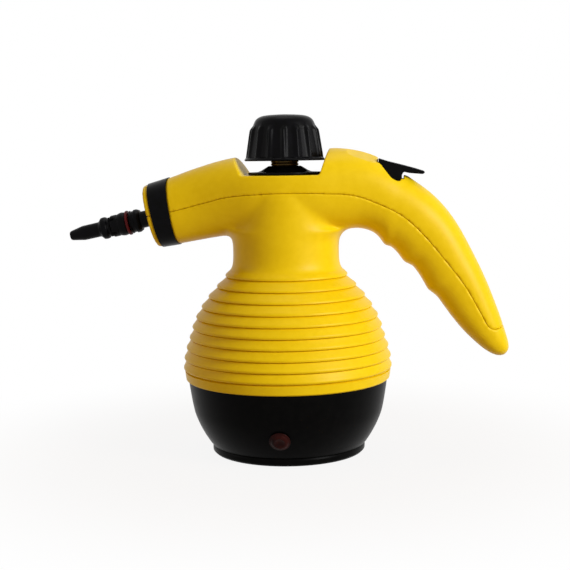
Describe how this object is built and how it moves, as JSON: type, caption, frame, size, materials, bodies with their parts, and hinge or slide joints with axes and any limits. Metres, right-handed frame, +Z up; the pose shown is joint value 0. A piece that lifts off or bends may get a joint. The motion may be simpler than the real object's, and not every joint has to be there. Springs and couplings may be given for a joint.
{
  "type": "handheld steam cleaner",
  "caption": "Hand-held steam cleaner: ribbed boiler bulb on a bowl base, T-shaped top with spout and curved handle, screw cap, thumb trigger and jet nozzle.",
  "frame": {"origin": "under the centre of the base, on the boiler's axis, at the height of the feet", "axes": "+X from the nozzle to the handle, +Y across the body, +Z up"},
  "size_m": [0.2949, 0.1402, 0.2262],
  "materials": {
    "yellow_shell": "satin moulded ABS",
    "black_trim": "satin moulded",
    "black_base": "polished moulded",
    "rubber": "matt",
    "silicone": "matt",
    "red_seal": "satin",
    "lens": "clear dark red",
    "ceramic": "matt",
    "brass": "machined",
    "aluminium": "cast",
    "steel": "plated"
  },
  "bodies": {
    "housing_body": {"lower_housing": "yellow_shell", "upper_housing": "yellow_shell", "spout_collar": "black_trim", "base_shell": "black_base", "base_plate": "black_base", "rubber_foot_1": "rubber", "rubber_foot_2": "rubber", "rubber_foot_3": "rubber", "rubber_foot_4": "rubber", "base_screw_1": "steel", "base_screw_2": "steel", "base_screw_3": "steel", "base_screw_4": "steel", "indicator_lens": "lens", "indicator_lamp": "ceramic", "cord_gland": "rubber", "boiler_lower": "aluminium", "boiler_upper": "aluminium", "boiler_gasket": "silicone", "boiler_screw_1": "steel", "boiler_screw_2": "steel", "boiler_screw_3": "steel", "boiler_screw_4": "steel", "heating_element": "steel", "thermostat": "ceramic", "thermal_cutout": "ceramic", "terminal_block": "ceramic", "filler_neck": "brass", "filler_funnel": "black_trim", "steam_pipe": "aluminium", "outlet_pipe": "aluminium", "valve_body": "brass", "valve_spring": "steel", "outlet_connector": "black_trim", "trigger_pin": "steel"},
    "cap_washer": {"cap_seal": "silicone"},
    "cap_plug_body": {"cap_plug": "brass", "cap_spring": "steel"},
    "cap_knob_body": {"cap_knob": "black_trim"},
    "trigger_body": {"trigger": "black_trim"},
    "plunger_body": {"valve_plunger": "steel"},
    "nozzle_seal_body": {"nozzle_seal": "red_seal"},
    "nozzle_body": {"jet_nozzle": "black_trim"}
  },
  "joints": [
    {"name": "cap_lift", "type": "slide", "parent": "housing_body", "child": "cap_washer", "axis": [0, 0, 1], "range_m": [0, 0.009]},
    {"name": "cap_turn", "type": "hinge", "parent": "cap_washer", "child": "cap_plug_body", "pos_m": [0, 0, 0.19], "axis": [0, 0, 1], "range_deg": [0, 1080]},
    {"name": "knob_press", "type": "slide", "parent": "cap_plug_body", "child": "cap_knob_body", "axis": [0, 0, -1], "range_m": [0, 0.0025], "stiffness_N_per_m": 800, "springref_m": -0.003, "deforming": ["cap_spring"]},
    {"name": "trigger_press", "type": "hinge", "parent": "housing_body", "child": "trigger_body", "pos_m": [0.068, 0, 0.1815], "axis": [0, 1, 0], "range_deg": [0, 7], "stiffness_Nm_per_rad": 0.5, "springref_deg": -5.73},
    {"name": "valve_slide", "type": "slide", "parent": "housing_body", "child": "plunger_body", "axis": [0, 0, -1], "range_m": [0, 0.00095], "deforming": ["valve_spring"]},
    {"name": "nozzle_twist", "type": "hinge", "parent": "housing_body", "child": "nozzle_seal_body", "pos_m": [-0.0905, 0, 0.1588], "axis": [-0.9781, 0, -0.2079], "range_deg": [0, 45]},
    {"name": "nozzle_pull", "type": "slide", "parent": "nozzle_seal_body", "child": "nozzle_body", "axis": [-0.9781, 0, -0.2079], "range_m": [0, 0.02]}
  ],
  "couplings": [
    {"joint": "cap_lift", "follows": "cap_turn", "m_per_rad": 0.00047746},
    {"joint": "valve_slide", "follows": "trigger_press", "m_per_rad": 0.0075}
  ]
}
